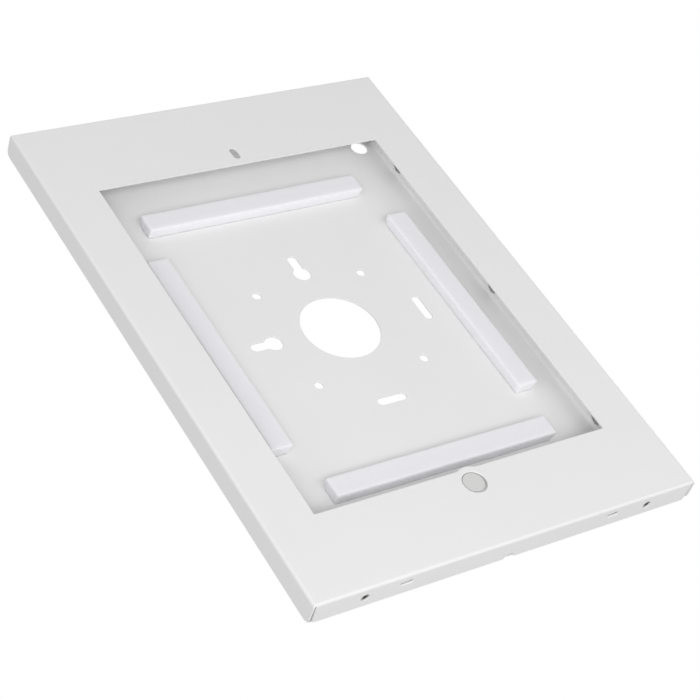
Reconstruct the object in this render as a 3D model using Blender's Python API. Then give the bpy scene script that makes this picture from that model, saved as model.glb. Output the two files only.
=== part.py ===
"""Wall mount for a tablet: a folded steel cover locked over a folded steel tray.

Units are metres and +Z is up. The wall plane is y = 0 and the front looks along -Y.
The origin is the centre of the square hole pattern in the tray, on the wall plane,
and the screen window and the tablet's place are centred on the same line.
"""

import math

import bmesh
import bpy

MM = 0.001

# The tablet that the mount is made for
TABLET_WIDTH = 220.6 * MM
TABLET_HEIGHT = 305.7 * MM
TABLET_THICKNESS = 6.9 * MM
TABLET_CLEARANCE = 0.3 * MM
SCREEN_CLEARANCE = 1.4 * MM

# Sheet metal
SHEET = 1.2 * MM
COVER_INNER_BEND = 0.7 * MM
TRAY_INNER_BEND = 0.4 * MM
RAIL_INNER_BEND = 0.4 * MM

# Clearances
SEAT_GAP = 0.3 * MM
NEST_GAP = 0.4 * MM
RIM_STAND_OFF = 2.2 * MM
LIP_HEADROOM = 2.0 * MM
RAIL_HEADROOM = 0.8 * MM

# Front cover, measured from the tablet's edges
SIDE_BORDER = 21.2 * MM
TOP_BORDER = 36.65 * MM
BOTTOM_BORDER = 30.65 * MM
SIDE_OVERLAP = 9.8 * MM
END_OVERLAP = 22.1 * MM
WINDOW_CORNER = 0.5 * MM

# Button hole and the ear of the window round it
BUTTON_RADIUS = 7.5 * MM
EAR_WALL = 3.8 * MM
EAR_RISE = 1.65 * MM
EAR_BLEND = 7.0 * MM

# Slot for the front lens, measured from the window's top edge
LENS_SLOT_LENGTH = 10.0 * MM
LENS_SLOT_WIDTH = 4.8 * MM
LENS_SLOT_SHIFT = -0.3 * MM
LENS_SLOT_RISE = 9.85 * MM

# Bottom flange, measured from the cover's sides and from its face
LOCK_INSET = 34.0 * MM
LOCK_DEPTH = 8.0 * MM
LOCK_HOLE_CLEARANCE = 0.6 * MM
CATCH_INSET = 60.2 * MM
CATCH_DEPTH = 6.4 * MM
CATCH_LENGTH = 8.5 * MM
CATCH_WIDTH = 3.0 * MM
NOTCH_RADIUS = 3.4 * MM

# Open seams between neighbouring flanges, and the flanges' free corners
SEAM_START = 1.0 * MM
SEAM_ROOT = 0.6 * MM
SEAM_TAPER = 1.2 * MM
SIDE_CORNER = 4.0 * MM
END_CORNER = 1.5 * MM

# Wall fixings in the tray's floor, measured from the pattern's centre
PATTERN_PITCH = 75.0 * MM
PATTERN_HOLE_RADIUS = 2.75 * MM
CABLE_HOLE_RADIUS = 25.0 * MM
KEY_HEAD_OFFSET = 46.8 * MM
KEY_HEAD_RADIUS = 5.5 * MM
KEY_TRAVEL = 12.3 * MM
KEY_NECK_RADIUS = 3.1 * MM
WALL_SLOT_OFFSET = 60.0 * MM
WALL_SLOT_LENGTH = 19.8 * MM
WALL_SLOT_WIDTH = 5.5 * MM

# Hole behind the rear lens, measured from the tablet's edges
LENS_HOLE_RADIUS = 5.6 * MM
LENS_INSET_SIDE = 10.8 * MM
LENS_INSET_TOP = 11.75 * MM

# Hook tongues of the tray, in slots of the cover's top flange
TONGUE_WIDTH = 20.0 * MM
TONGUE_INSET = 61.5 * MM
TONGUE_DEPTH = 8.0 * MM
TONGUE_SHORT = 0.3 * MM
TONGUE_CLEARANCE = 0.4 * MM

# Locating rails
RAIL_FOOT = 12.0 * MM
SIDE_RAIL_SETBACK = 7.85 * MM
END_RAIL_SETBACK = 10.3 * MM
RAIL_HOLE_RADIUS = 5.5 * MM
RAIL_HOLE_PITCH = 114.5 * MM
RAIL_HOLE_SHIFT = -1.7 * MM
PLUG_GAP_WIDTH = 40.0 * MM
PLUG_GAP_FLOOR = 4.0 * MM

# Foam strips: section, how much shorter than the tablet, and where each was laid
FOAM_WIDTH = 14.0 * MM
FOAM_HEIGHT = 7.0 * MM
FOAM_ROUND = 1.0 * MM
END_FOAM_SHORT = 66.6 * MM
SIDE_FOAM_SHORT = 151.7 * MM
TOP_FOAM_INSET = 46.8 * MM
TOP_FOAM_SHIFT = -2.2 * MM
BOTTOM_FOAM_INSET = 41.65 * MM
BOTTOM_FOAM_SHIFT = 2.0 * MM
LEFT_FOAM_INSET = 23.5 * MM
LEFT_FOAM_SHIFT = -0.8 * MM
RIGHT_FOAM_INSET = 25.9 * MM
RIGHT_FOAM_SHIFT = -3.2 * MM

# Cap of the button hole
CAP_RECESS = 0.7 * MM
CAP_LIP = 1.6 * MM
CAP_LIP_THICKNESS = 0.6 * MM
CAP_CHAMFER = 0.2 * MM

# Lock screws and the clinch nuts that take them
SCREW_RADIUS = 2.0 * MM
SCREW_LENGTH = 6.0 * MM
SCREW_RECESS = 0.5 * MM
SCREW_CHAMFER = 0.3 * MM
SOCKET_RADIUS = 1.15 * MM
SOCKET_DEPTH = 2.0 * MM
NUT_BORE_CLEARANCE = 0.3 * MM
NUT_SHANK_WALL = 0.6 * MM
NUT_FLANGE = 1.6 * MM
NUT_HEIGHT = 4.0 * MM
NUT_CHAMFER = 0.4 * MM

# Facets
CABLE_HOLE_STEPS = 72
ROUND_STEPS = 32
HALF_ROUND_STEPS = 12
BEND_STEPS = 7
CORNER_STEPS = 3
SOCKET_SIDES = 6
CUT_MARGIN = 1.0 * MM

# Bends, outside
COVER_BEND = COVER_INNER_BEND + SHEET
TRAY_BEND = TRAY_INNER_BEND + SHEET
RAIL_BEND = RAIL_INNER_BEND + SHEET

# Places along Y, from the wall plane to the front face
OVERALL_DEPTH = SHEET + FOAM_HEIGHT + TABLET_THICKNESS + SCREEN_CLEARANCE + SHEET
FACE_Y = -OVERALL_DEPTH
UNDERSIDE_Y = FACE_Y + SHEET
COVER_RIM_Y = -RIM_STAND_OFF
FLOOR_Y = -SHEET
SEAT_Y = FLOOR_Y - SEAT_GAP
LIP_EDGE_Y = UNDERSIDE_Y + LIP_HEADROOM
LOCK_Y = FACE_Y + LOCK_DEPTH
TONGUE_Y = FACE_Y + TONGUE_DEPTH

# Half sizes of the tablet and of the window
HALF_TABLET_X = TABLET_WIDTH / 2
HALF_TABLET_Z = TABLET_HEIGHT / 2
HALF_WINDOW_X = HALF_TABLET_X - SIDE_OVERLAP
HALF_WINDOW_Z = HALF_TABLET_Z - END_OVERLAP

# Outer edges of the cover, and of the tray inside it: low x, high x, low z, high z
NEST = SHEET + NEST_GAP
COVER_EDGES = (
    -HALF_TABLET_X - SIDE_BORDER,
    HALF_TABLET_X + SIDE_BORDER,
    -HALF_TABLET_Z - BOTTOM_BORDER,
    HALF_TABLET_Z + TOP_BORDER,
)
TRAY_EDGES = (
    COVER_EDGES[0] + NEST,
    COVER_EDGES[1] - NEST,
    COVER_EDGES[2] + NEST,
    COVER_EDGES[3] - NEST,
)

# Button hole
EAR_RADIUS = BUTTON_RADIUS + EAR_WALL
EAR_REACH = EAR_RADIUS - EAR_RISE
BUTTON_Z = -HALF_WINDOW_Z - EAR_REACH

# Lock screws
LOCK_X = COVER_EDGES[1] - LOCK_INSET
NUT_BORE = SCREW_RADIUS + NUT_BORE_CLEARANCE
NUT_SHANK = NUT_BORE + NUT_SHANK_WALL


def clear_scene():
    """Remove every object that the file opened with."""
    for item in list(bpy.data.objects):
        bpy.data.objects.remove(item, do_unlink=True)


def surface(name, colour, roughness, metallic=0.0):
    """Make a plain material for one kind of piece."""
    material = bpy.data.materials.new(name)
    material.use_nodes = True
    shader = material.node_tree.nodes["Principled BSDF"]
    shader.inputs["Base Color"].default_value = (*colour, 1.0)
    shader.inputs["Roughness"].default_value = roughness
    shader.inputs["Metallic"].default_value = metallic
    return material


def finish_object(name, mesh_data, material=None, smooth_angle=None):
    """Turn mesh data into a named object whose faces point outwards."""
    bmesh.ops.recalc_face_normals(mesh_data, faces=mesh_data.faces)
    mesh = bpy.data.meshes.new(name)
    mesh_data.to_mesh(mesh)
    mesh_data.free()
    if smooth_angle is not None:
        mesh.shade_smooth()
        mesh.set_sharp_from_angle(angle=math.radians(smooth_angle))
    item = bpy.data.objects.new(name, mesh)
    bpy.context.scene.collection.objects.link(item)
    if material is not None:
        mesh.materials.append(material)
    return item


def round_stretch(centre, radius, first, second, turn, steps):
    """Points of an arc that starts towards first and turns by an angle towards second."""
    points = []
    for step in range(steps + 1):
        angle = turn * step / steps
        along = radius * math.cos(angle)
        across = radius * math.sin(angle)
        x = centre[0] + first[0] * along + second[0] * across
        points.append((x, centre[1] + first[1] * along + second[1] * across))
    return points


def circle(centre, radius, steps):
    """Outline of a round hole."""
    return round_stretch(centre, radius, (1.0, 0.0), (0.0, 1.0), math.tau, steps)[:-1]


def rectangle(low, high):
    """Outline of a rectangle between two corners."""
    return [low, (high[0], low[1]), high, (low[0], high[1])]


def stadium(centre, length, width, along, steps):
    """Outline of a slot with round ends; along is the direction of its length."""
    radius = width / 2
    reach = length / 2 - radius
    side = (-along[1], along[0])
    outline = []
    for end in (1.0, -1.0):
        tip = (centre[0] + end * along[0] * reach, centre[1] + end * along[1] * reach)
        first = (-end * side[0], -end * side[1])
        ahead = (end * along[0], end * along[1])
        outline += round_stretch(tip, radius, first, ahead, math.pi, steps)
    return outline


def keyhole(along):
    """Outline of a hanging hole whose neck points away from the pattern's centre."""
    side = (-along[1], along[0])
    back = (-along[0], -along[1])
    head = (along[0] * KEY_HEAD_OFFSET, along[1] * KEY_HEAD_OFFSET)
    neck_offset = KEY_HEAD_OFFSET + KEY_TRAVEL
    neck = (along[0] * neck_offset, along[1] * neck_offset)
    throat = math.asin(KEY_NECK_RADIUS / KEY_HEAD_RADIUS)
    half_turn = math.pi - throat
    left = round_stretch(head, KEY_HEAD_RADIUS, back, side, half_turn, HALF_ROUND_STEPS)
    right = round_stretch(head, KEY_HEAD_RADIUS, back, (-side[0], -side[1]), half_turn, HALF_ROUND_STEPS)
    tip = round_stretch(neck, KEY_NECK_RADIUS, side, along, math.pi, HALF_ROUND_STEPS)
    return left + tip + right[:0:-1]


def corner_waste(corner, radius, inward):
    """Outline of what is cut off to round a corner; inward points into the sheet."""
    centre = (corner[0] + inward[0] * radius, corner[1] + inward[1] * radius)
    outside = (corner[0] - inward[0] * CUT_MARGIN, corner[1] - inward[1] * CUT_MARGIN)
    first = (-inward[0], 0.0)
    second = (0.0, -inward[1])
    outline = round_stretch(centre, radius, first, second, math.pi / 2, BEND_STEPS)
    outline.append((centre[0], outside[1]))
    outline.append(outside)
    outline.append((outside[0], centre[1]))
    return outline


def place(axis, along, across):
    """Put a point of an outline into space, with the outline's normal along one axis."""
    if axis == "X":
        return (along, across[0], across[1])
    if axis == "Y":
        return (across[0], along, across[1])
    return (across[0], across[1], along)


def add_prism(mesh_data, axis, outline, low, high):
    """Add an outline that is extruded along one axis."""
    lower = [mesh_data.verts.new(place(axis, low, point)) for point in outline]
    upper = [mesh_data.verts.new(place(axis, high, point)) for point in outline]
    mesh_data.faces.new(lower)
    mesh_data.faces.new(upper)
    for index, corner in enumerate(lower):
        following = (index + 1) % len(lower)
        mesh_data.faces.new((corner, lower[following], upper[following], upper[index]))


def prism_object(name, prisms):
    """Make a Boolean tool from prisms that don't touch one another."""
    mesh_data = bmesh.new()
    for axis, outline, low, high in prisms:
        add_prism(mesh_data, axis, outline, low, high)
    tool = finish_object(name, mesh_data)
    tool.hide_render = True
    tool.display_type = "WIRE"
    return tool


def apply_boolean(item, tool, operation):
    """Cut a tool from a piece, or join it on, with an exact Boolean."""
    modifier = item.modifiers.new(tool.name, "BOOLEAN")
    modifier.operation = operation
    modifier.solver = "EXACT"
    modifier.object = tool


def folded_pan(name, edges, face_y, rim_y, bend, material):
    """Fold a sheet into a shallow pan: one flat face and four flanges round it.

    A station is an inset from the outer edge and a distance from the face. The stations
    run over the outer skin, round the rim and back over the inner skin.
    """
    depth = abs(rim_y - face_y)
    inward = math.copysign(1.0, rim_y - face_y)
    towards_face = (0.0, -1.0)
    towards_edge = (-1.0, 0.0)
    quarter = math.pi / 2
    outer_fold = round_stretch((bend, bend), bend, towards_face, towards_edge, quarter, BEND_STEPS)
    inner_fold = round_stretch((bend, bend), bend - SHEET, towards_edge, towards_face, quarter, BEND_STEPS)
    stations = outer_fold + [(0.0, depth), (SHEET, depth)] + inner_fold
    low_x, high_x, low_z, high_z = edges
    mesh_data = bmesh.new()
    loops = []
    for inset, distance in stations:
        corners = rectangle((low_x + inset, low_z + inset), (high_x - inset, high_z - inset))
        y = face_y + inward * distance
        loops.append([mesh_data.verts.new(place("Y", y, corner)) for corner in corners])
    mesh_data.faces.new(loops[0])
    mesh_data.faces.new(loops[-1])
    for near, far in zip(loops, loops[1:]):
        for index, corner in enumerate(near):
            following = (index + 1) % len(near)
            mesh_data.faces.new((corner, near[following], far[following], far[index]))
    return finish_object(name, mesh_data, material, smooth_angle=30.0)


def seam_prisms(edges, face_y, rim_y, bend):
    """Cutters that part the end flanges from the side flanges at the four corners.

    Each seam widens towards the rim, where the end flange's free corner is rounded.
    """
    inward = math.copysign(1.0, rim_y - face_y)
    start_y = face_y + inward * SEAM_START
    round_y = rim_y - inward * END_CORNER
    end_y = rim_y + inward * CUT_MARGIN
    low_x, high_x, low_z, high_z = edges
    prisms = []
    for side_x, into_x in ((low_x, 1.0), (high_x, -1.0)):
        wall = side_x + into_x * SHEET
        root = wall + into_x * SEAM_ROOT
        centre = (root + into_x * (SEAM_TAPER + END_CORNER), round_y)
        rounding = round_stretch(
            centre, END_CORNER, (-into_x, 0.0), (0.0, inward), math.pi / 2, BEND_STEPS
        )
        outline = [(wall, start_y), (root, start_y)] + rounding + [(centre[0], end_y), (wall, end_y)]
        prisms.append(("Z", outline, low_z - CUT_MARGIN, low_z + bend))
        prisms.append(("Z", outline, high_z - bend, high_z + CUT_MARGIN))
    return prisms


def side_corner_prisms():
    """Cutters that round the free corners of the cover's side flanges."""
    low_x, high_x, low_z, high_z = COVER_EDGES
    prisms = []
    for side_x, into_x in ((low_x, 1.0), (high_x, -1.0)):
        outside = side_x - into_x * CUT_MARGIN
        inside = side_x + into_x * (SHEET + SEAM_ROOT / 2)
        span = sorted((outside, inside))
        for end_z, into_z in ((low_z, 1.0), (high_z, -1.0)):
            waste = corner_waste((COVER_RIM_Y, end_z), SIDE_CORNER, (-1.0, into_z))
            prisms.append(("X", waste, span[0], span[1]))
    return prisms


def window_outline():
    """Outline of the screen window, with the ear that rises round the button hole."""
    blend_z = EAR_BLEND - HALF_WINDOW_Z
    rise = blend_z - BUTTON_Z
    blend_x = math.sqrt((EAR_RADIUS + EAR_BLEND) ** 2 - rise**2)
    lean = math.atan2(blend_x, rise)
    down = (0.0, -1.0)
    right = (1.0, 0.0)
    left = (-1.0, 0.0)
    first_blend = round_stretch((-blend_x, blend_z), EAR_BLEND, down, right, lean, BEND_STEPS)
    ear_start = (-math.sin(lean), math.cos(lean))
    ear_side = (math.cos(lean), math.sin(lean))
    ear = round_stretch((0.0, BUTTON_Z), EAR_RADIUS, ear_start, ear_side, 2 * lean, BEND_STEPS)
    second_blend = round_stretch((blend_x, blend_z), EAR_BLEND, down, left, lean, BEND_STEPS)
    outline = first_blend + ear[1:-1] + second_blend[::-1]
    round_x = HALF_WINDOW_X - WINDOW_CORNER
    round_z = HALF_WINDOW_Z - WINDOW_CORNER
    for side_x, side_z in ((1, -1), (1, 1), (-1, 1), (-1, -1)):
        upright = (0.0, float(side_z))
        level = (float(side_x), 0.0)
        first, second = (upright, level) if side_x * side_z < 0 else (level, upright)
        centre = (side_x * round_x, side_z * round_z)
        outline += round_stretch(centre, WINDOW_CORNER, first, second, math.pi / 2, CORNER_STEPS)
    return outline


def front_cover(material):
    """Fold the cover and cut its window, holes, seams and flange corners."""
    cover = folded_pan("front_cover", COVER_EDGES, FACE_Y, COVER_RIM_Y, COVER_BEND, material)
    upright = (0.0, 1.0)
    level = (1.0, 0.0)
    lens = (LENS_SLOT_SHIFT, HALF_WINDOW_Z + LENS_SLOT_RISE)
    face_outlines = [
        window_outline(),
        circle((0.0, BUTTON_Z), BUTTON_RADIUS, ROUND_STEPS),
        stadium(lens, LENS_SLOT_LENGTH, LENS_SLOT_WIDTH, upright, BEND_STEPS),
    ]
    before_face = FACE_Y - CUT_MARGIN
    behind_face = UNDERSIDE_Y + CUT_MARGIN
    face_cuts = [("Y", outline, before_face, behind_face) for outline in face_outlines]
    apply_boolean(cover, prism_object("cover_face_cuts", face_cuts), "DIFFERENCE")

    lock_hole = SCREW_RADIUS + LOCK_HOLE_CLEARANCE
    half_slot = TONGUE_WIDTH / 2 + TONGUE_CLEARANCE
    bottom_outlines = [circle((0.0, COVER_RIM_Y), NOTCH_RADIUS, ROUND_STEPS)]
    top_outlines = []
    for side in (-1.0, 1.0):
        catch = (side * (COVER_EDGES[1] - CATCH_INSET), FACE_Y + CATCH_DEPTH)
        bottom_outlines.append(circle((side * LOCK_X, LOCK_Y), lock_hole, ROUND_STEPS))
        bottom_outlines.append(stadium(catch, CATCH_LENGTH, CATCH_WIDTH, level, BEND_STEPS))
        tongue_x = side * (COVER_EDGES[1] - TONGUE_INSET)
        low = (tongue_x - half_slot, TONGUE_Y - TONGUE_CLEARANCE)
        high = (tongue_x + half_slot, TONGUE_Y + SHEET + TONGUE_CLEARANCE)
        top_outlines.append(rectangle(low, high))
    bottom_span = (COVER_EDGES[2] - CUT_MARGIN, COVER_EDGES[2] + NEST)
    top_span = (COVER_EDGES[3] - NEST, COVER_EDGES[3] + CUT_MARGIN)
    flange_cuts = [("Z", outline, *bottom_span) for outline in bottom_outlines]
    flange_cuts += [("Z", outline, *top_span) for outline in top_outlines]
    apply_boolean(cover, prism_object("cover_flange_cuts", flange_cuts), "DIFFERENCE")

    seams = seam_prisms(COVER_EDGES, FACE_Y, COVER_RIM_Y, COVER_BEND)
    apply_boolean(cover, prism_object("cover_seam_cuts", seams), "DIFFERENCE")
    corners = side_corner_prisms()
    apply_boolean(cover, prism_object("cover_corner_cuts", corners), "DIFFERENCE")
    return cover


def wall_fixing_outlines():
    """Outlines of every opening in the tray's floor."""
    upright = (0.0, 1.0)
    level = (1.0, 0.0)
    slot_right = (WALL_SLOT_OFFSET, 0.0)
    slot_below = (0.0, -WALL_SLOT_OFFSET)
    outlines = [
        circle((0.0, 0.0), CABLE_HOLE_RADIUS, CABLE_HOLE_STEPS),
        keyhole((0.0, 1.0)),
        keyhole((-1.0, 0.0)),
        stadium(slot_right, WALL_SLOT_LENGTH, WALL_SLOT_WIDTH, upright, HALF_ROUND_STEPS),
        stadium(slot_below, WALL_SLOT_LENGTH, WALL_SLOT_WIDTH, level, HALF_ROUND_STEPS),
    ]
    half_pitch = PATTERN_PITCH / 2
    for x in (-half_pitch, half_pitch):
        for z in (-half_pitch, half_pitch):
            outlines.append(circle((x, z), PATTERN_HOLE_RADIUS, 2 * HALF_ROUND_STEPS))
    lens = (HALF_TABLET_X - LENS_INSET_SIDE, HALF_TABLET_Z - LENS_INSET_TOP)
    outlines.append(circle(lens, LENS_HOLE_RADIUS, ROUND_STEPS))
    return outlines


def back_tray(material):
    """Fold the tray, cut its wall fixings and bend the hook tongues out of its top lip."""
    tray = folded_pan("back_tray", TRAY_EDGES, 0.0, LIP_EDGE_Y, TRAY_BEND, material)
    before_floor = FLOOR_Y - CUT_MARGIN
    floor_cuts = [("Y", outline, before_floor, CUT_MARGIN) for outline in wall_fixing_outlines()]
    apply_boolean(tray, prism_object("tray_floor_cuts", floor_cuts), "DIFFERENCE")
    seams = seam_prisms(TRAY_EDGES, 0.0, LIP_EDGE_Y, TRAY_BEND)
    apply_boolean(tray, prism_object("tray_seam_cuts", seams), "DIFFERENCE")

    top = TRAY_EDGES[3]
    bottom = TRAY_EDGES[2]
    tongue_end = COVER_EDGES[3] - TONGUE_SHORT
    lip_cuts = []
    tongues = []
    for side in (-1.0, 1.0):
        tongue_x = side * (COVER_EDGES[1] - TONGUE_INSET)
        low_x = tongue_x - TONGUE_WIDTH / 2
        high_x = tongue_x + TONGUE_WIDTH / 2
        relief = rectangle((low_x, LIP_EDGE_Y - CUT_MARGIN), (high_x, TONGUE_Y))
        lip_cuts.append(("Z", relief, top - SHEET - CUT_MARGIN, top + CUT_MARGIN))
        tongue = rectangle((low_x, TONGUE_Y), (high_x, TONGUE_Y + SHEET))
        tongues.append(("Z", tongue, top - SHEET, tongue_end))
        nut_hole = circle((side * LOCK_X, LOCK_Y), NUT_SHANK + SEAT_GAP, ROUND_STEPS)
        lip_cuts.append(("Z", nut_hole, bottom - CUT_MARGIN, bottom + SHEET + CUT_MARGIN))
    apply_boolean(tray, prism_object("tray_lip_cuts", lip_cuts), "DIFFERENCE")
    apply_boolean(tray, prism_object("tray_tongues", tongues), "UNION")
    return tray


def locating_rail(name, reach, turn, length, hole_places, plug_gap, material):
    """Fold an angle rail whose upright holds one edge of the tablet.

    Before it is turned the rail runs along Z at the tablet's right edge: its upright
    faces -X and its foot lies outwards on the tray's floor.
    """
    edge_y = UNDERSIDE_Y + RAIL_HEADROOM
    heel = (RAIL_BEND, SEAT_Y - RAIL_BEND)
    down = (0.0, 1.0)
    aside = (-1.0, 0.0)
    quarter = math.pi / 2
    outline = round_stretch(heel, RAIL_BEND, down, aside, quarter, BEND_STEPS)
    outline += [(0.0, edge_y), (SHEET, edge_y)]
    outline += round_stretch(heel, RAIL_BEND - SHEET, aside, down, quarter, CORNER_STEPS)
    outline += [(RAIL_FOOT, SEAT_Y - SHEET), (RAIL_FOOT, SEAT_Y)]
    mesh_data = bmesh.new()
    add_prism(mesh_data, "Z", outline, -length / 2, length / 2)
    rail = finish_object(name, mesh_data, material, smooth_angle=30.0)
    wall = reach + TABLET_CLEARANCE
    rail.rotation_euler = (0.0, -turn, 0.0)
    rail.location = (wall * math.cos(turn), 0.0, wall * math.sin(turn))

    hole_y = SEAT_Y - RAIL_BEND - RAIL_HOLE_RADIUS
    outlines = [circle((hole_y, along), RAIL_HOLE_RADIUS, ROUND_STEPS) for along in hole_places]
    if plug_gap:
        low = (edge_y - CUT_MARGIN, -PLUG_GAP_WIDTH / 2)
        high = (SEAT_Y - PLUG_GAP_FLOOR, PLUG_GAP_WIDTH / 2)
        outlines.append(rectangle(low, high))
    if outlines:
        cuts = [("X", cut, -CUT_MARGIN, SHEET + CUT_MARGIN) for cut in outlines]
        cutter = prism_object(name + "_cuts", cuts)
        cutter.parent = rail
        apply_boolean(rail, cutter, "DIFFERENCE")
    return rail


def four_rails(material):
    """Make the rails at the tablet's right, top, left and bottom edges."""
    side_length = TABLET_HEIGHT - 2 * SIDE_RAIL_SETBACK
    end_length = TABLET_WIDTH - 2 * END_RAIL_SETBACK
    holes = [RAIL_HOLE_SHIFT + step * RAIL_HOLE_PITCH for step in (-1, 0, 1)]
    quarter = math.pi / 2
    return [
        locating_rail("right_rail", HALF_TABLET_X, 0.0, side_length, holes, False, material),
        locating_rail("top_rail", HALF_TABLET_Z, quarter, end_length, [], False, material),
        locating_rail("left_rail", HALF_TABLET_X, 2 * quarter, side_length, holes, False, material),
        locating_rail("bottom_rail", HALF_TABLET_Z, 3 * quarter, end_length, [], True, material),
    ]


def foam_strip(name, centre, length, upright, material):
    """Lay one soft strip on the tray's floor; its top stands a full height off the floor."""
    half_length = length / 2
    half_width = FOAM_WIDTH / 2
    half_x, half_z = (half_width, half_length) if upright else (half_length, half_width)
    mesh_data = bmesh.new()
    outline = rectangle((-half_x, -half_z), (half_x, half_z))
    add_prism(mesh_data, "Y", outline, FLOOR_Y - FOAM_HEIGHT, SEAT_Y)
    strip = finish_object(name, mesh_data, material)
    strip.location = (centre[0], 0.0, centre[1])
    rounding = strip.modifiers.new("edge_round", "BEVEL")
    rounding.width = FOAM_ROUND
    rounding.segments = 2
    return strip


def four_foam_strips(material):
    """Lay the strips where the photographed ones lie, each a little off the middle."""
    end_length = TABLET_WIDTH - END_FOAM_SHORT
    side_length = TABLET_HEIGHT - SIDE_FOAM_SHORT
    top = (TOP_FOAM_SHIFT, HALF_TABLET_Z - TOP_FOAM_INSET)
    bottom = (BOTTOM_FOAM_SHIFT, BOTTOM_FOAM_INSET - HALF_TABLET_Z)
    left = (LEFT_FOAM_INSET - HALF_TABLET_X, LEFT_FOAM_SHIFT)
    right = (HALF_TABLET_X - RIGHT_FOAM_INSET, RIGHT_FOAM_SHIFT)
    return [
        foam_strip("top_foam", top, end_length, False, material),
        foam_strip("bottom_foam", bottom, end_length, False, material),
        foam_strip("left_foam", left, side_length, True, material),
        foam_strip("right_foam", right, side_length, True, material),
    ]


def turned(name, profile, steps, material):
    """Turn a closed profile of radius and height round the Z axis."""
    mesh_data = bmesh.new()
    loops = []
    for step in range(steps):
        angle = math.tau * step / steps
        spoke = (math.cos(angle), math.sin(angle))
        loops.append([mesh_data.verts.new((r * spoke[0], r * spoke[1], z)) for r, z in profile])
    for step, near in enumerate(loops):
        far = loops[(step + 1) % steps]
        for index, point in enumerate(profile):
            following = (index + 1) % len(profile)
            on_axis = point[0] == 0.0 and profile[following][0] == 0.0
            if not on_axis:
                mesh_data.faces.new((near[index], far[index], far[following], near[following]))
    bmesh.ops.remove_doubles(mesh_data, verts=mesh_data.verts, dist=MM / 100)
    bmesh.ops.dissolve_degenerate(mesh_data, edges=mesh_data.edges, dist=MM / 100)
    return finish_object(name, mesh_data, material, smooth_angle=30.0)


def button_cap(material):
    """Turn the cap that closes the button hole; its lip lies behind the sheet."""
    plug_radius = BUTTON_RADIUS - SEAT_GAP
    lip_radius = BUTTON_RADIUS + CAP_LIP
    lip_front = SHEET + SEAT_GAP
    lip_back = lip_front + CAP_LIP_THICKNESS
    profile = [
        (0.0, CAP_RECESS),
        (plug_radius - CAP_CHAMFER, CAP_RECESS),
        (plug_radius, CAP_RECESS + CAP_CHAMFER),
        (plug_radius, lip_front),
        (lip_radius, lip_front),
        (lip_radius, lip_back),
        (0.0, lip_back),
    ]
    cap = turned("button_cap", profile, ROUND_STEPS, material)
    cap.rotation_euler = (-math.pi / 2, 0.0, 0.0)
    cap.location = (0.0, FACE_Y, BUTTON_Z)
    return cap


def lock_screw(name, side, material):
    """Turn a headless screw with a hexagon socket in the end that faces down."""
    tip_radius = SCREW_RADIUS - SCREW_CHAMFER
    profile = [
        (0.0, 0.0),
        (tip_radius, 0.0),
        (SCREW_RADIUS, SCREW_CHAMFER),
        (SCREW_RADIUS, SCREW_LENGTH - SCREW_CHAMFER),
        (tip_radius, SCREW_LENGTH),
        (0.0, SCREW_LENGTH),
    ]
    screw = turned(name, profile, 2 * HALF_ROUND_STEPS, material)
    screw.location = (side * LOCK_X, LOCK_Y, COVER_EDGES[2] + SCREW_RECESS)
    hexagon = circle((0.0, 0.0), SOCKET_RADIUS, SOCKET_SIDES)
    socket = prism_object(name + "_socket", [("Z", hexagon, -CUT_MARGIN, SOCKET_DEPTH)])
    socket.parent = screw
    apply_boolean(screw, socket, "DIFFERENCE")
    return screw


def clinch_nut(name, side, material):
    """Turn the nut that is pressed into the tray's bottom lip."""
    flange_radius = NUT_SHANK + NUT_FLANGE
    flange_start = SHEET + SEAT_GAP
    flange_end = flange_start + NUT_HEIGHT
    profile = [
        (NUT_BORE, SEAT_GAP),
        (NUT_SHANK, SEAT_GAP),
        (NUT_SHANK, flange_start),
        (flange_radius, flange_start),
        (flange_radius, flange_end - NUT_CHAMFER),
        (flange_radius - NUT_CHAMFER, flange_end),
        (NUT_BORE, flange_end),
    ]
    nut = turned(name, profile, ROUND_STEPS, material)
    nut.location = (side * LOCK_X, LOCK_Y, TRAY_EDGES[2])
    return nut


def build():
    """Make every piece of the mount and hang them on one empty."""
    clear_scene()
    painted = surface("white_powder_coat", (0.80, 0.80, 0.79), 0.45)
    foam = surface("white_foam", (0.82, 0.82, 0.84), 0.9)
    plastic = surface("grey_plastic", (0.68, 0.68, 0.67), 0.5)
    blackened = surface("blackened_steel", (0.05, 0.05, 0.05), 0.4, 1.0)
    plated = surface("plated_steel", (0.55, 0.55, 0.53), 0.35, 1.0)

    pieces = [front_cover(painted), back_tray(painted)]
    pieces += four_rails(painted)
    pieces += four_foam_strips(foam)
    pieces.append(button_cap(plastic))
    for side_name, side in (("left", -1.0), ("right", 1.0)):
        pieces.append(lock_screw(side_name + "_lock_screw", side, blackened))
        pieces.append(clinch_nut(side_name + "_clinch_nut", side, plated))

    mount = bpy.data.objects.new("tablet_wall_mount", None)
    bpy.context.scene.collection.objects.link(mount)
    for piece in pieces:
        piece.parent = mount


build()
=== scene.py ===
# %% [markdown]
# # A wall mount for a tablet
#
# The real object is two pans folded from thin steel sheet and powder coated white. The front
# cover frames the screen and the back tray is screwed to the wall. Soft foam strips and folded
# rails hold the tablet between them. The CAD model gives every place and size in metres, so this
# lesson starts by loading it and then dresses one piece after another: first the materials, then
# the sheets, the foam, the small parts, and at last the floor and the light.

# %% Load the CAD model
import math
import bmesh
import bpy
from mathutils import Matrix, Vector, noise


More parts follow.
